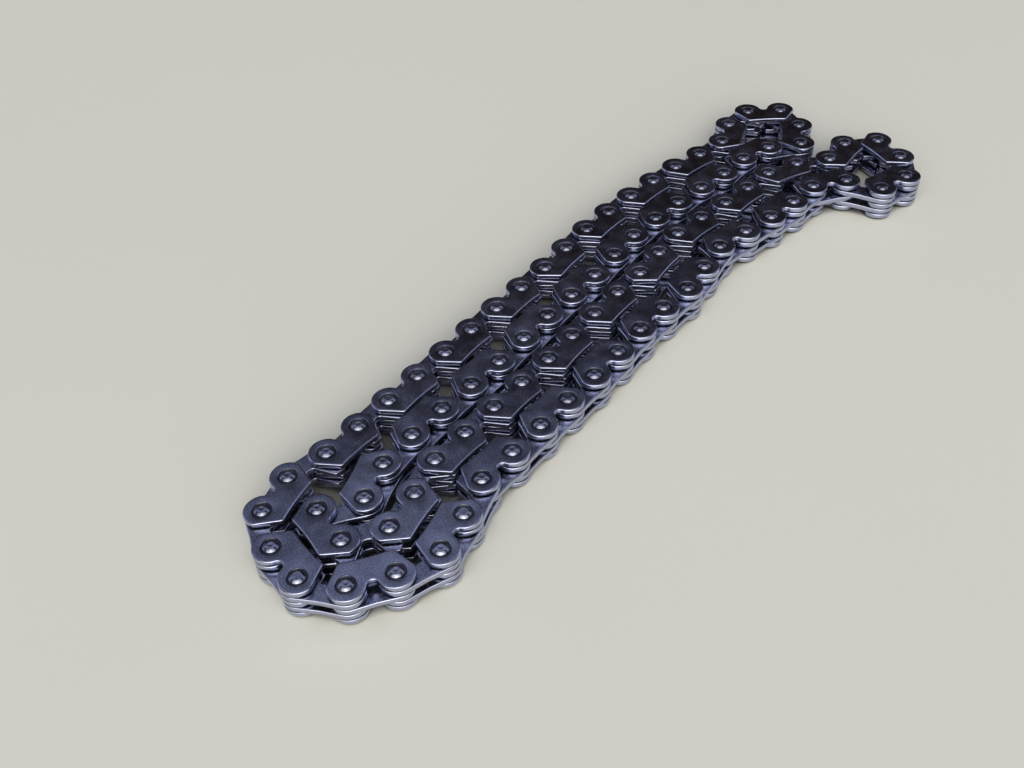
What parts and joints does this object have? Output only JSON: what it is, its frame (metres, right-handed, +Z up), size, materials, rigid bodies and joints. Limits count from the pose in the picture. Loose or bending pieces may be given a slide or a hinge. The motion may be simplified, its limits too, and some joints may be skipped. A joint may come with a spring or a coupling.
{
  "type": "silent chain heap",
  "caption": "Closed loop of laminated steel chain lying on its side in parallel rows; humped outer plates and toothed inner plates on riveted pins.",
  "frame": {"origin": "on the floor, under the middle of the whole loop's box; the pins' lower ends stand on the floor", "axes": "+X along the rows, away from the near turn; +Y across the rows; +Z up along the pins"},
  "size_m": [0.2812, 0.0836, 0.0115],
  "materials": {
    "blackened_steel": "blackened and lightly oiled steel, satin faces with brighter worn edges"
  },
  "bodies": {
    "root": {"link_pair_01": "blackened_steel", "link_pair_02": "blackened_steel", "link_pair_03": "blackened_steel", "link_pair_04": "blackened_steel", "link_pair_05": "blackened_steel", "link_pair_06": "blackened_steel", "link_pair_07": "blackened_steel", "link_pair_08": "blackened_steel", "link_pair_09": "blackened_steel", "link_pair_10": "blackened_steel", "link_pair_11": "blackened_steel", "link_pair_12": "blackened_steel", "link_pair_13": "blackened_steel", "link_pair_14": "blackened_steel", "link_pair_15": "blackened_steel", "link_pair_16": "blackened_steel", "link_pair_17": "blackened_steel", "link_pair_18": "blackened_steel", "link_pair_19": "blackened_steel", "link_pair_20": "blackened_steel", "link_pair_21": "blackened_steel", "link_pair_22": "blackened_steel", "link_pair_23": "blackened_steel", "link_pair_24": "blackened_steel", "link_pair_25": "blackened_steel", "link_pair_26": "blackened_steel", "link_pair_27": "blackened_steel", "link_pair_28": "blackened_steel", "link_pair_29": "blackened_steel", "link_pair_30": "blackened_steel", "link_pair_31": "blackened_steel", "link_pair_32": "blackened_steel", "link_pair_33": "blackened_steel", "link_pair_34": "blackened_steel", "link_pair_35": "blackened_steel", "link_pair_36": "blackened_steel", "link_pair_37": "blackened_steel", "link_pair_38": "blackened_steel", "link_pair_39": "blackened_steel", "link_pair_40": "blackened_steel", "link_pair_41": "blackened_steel", "link_pair_42": "blackened_steel", "link_pair_43": "blackened_steel", "link_pair_44": "blackened_steel", "link_pair_45": "blackened_steel"}
  },
  "joints": []
}
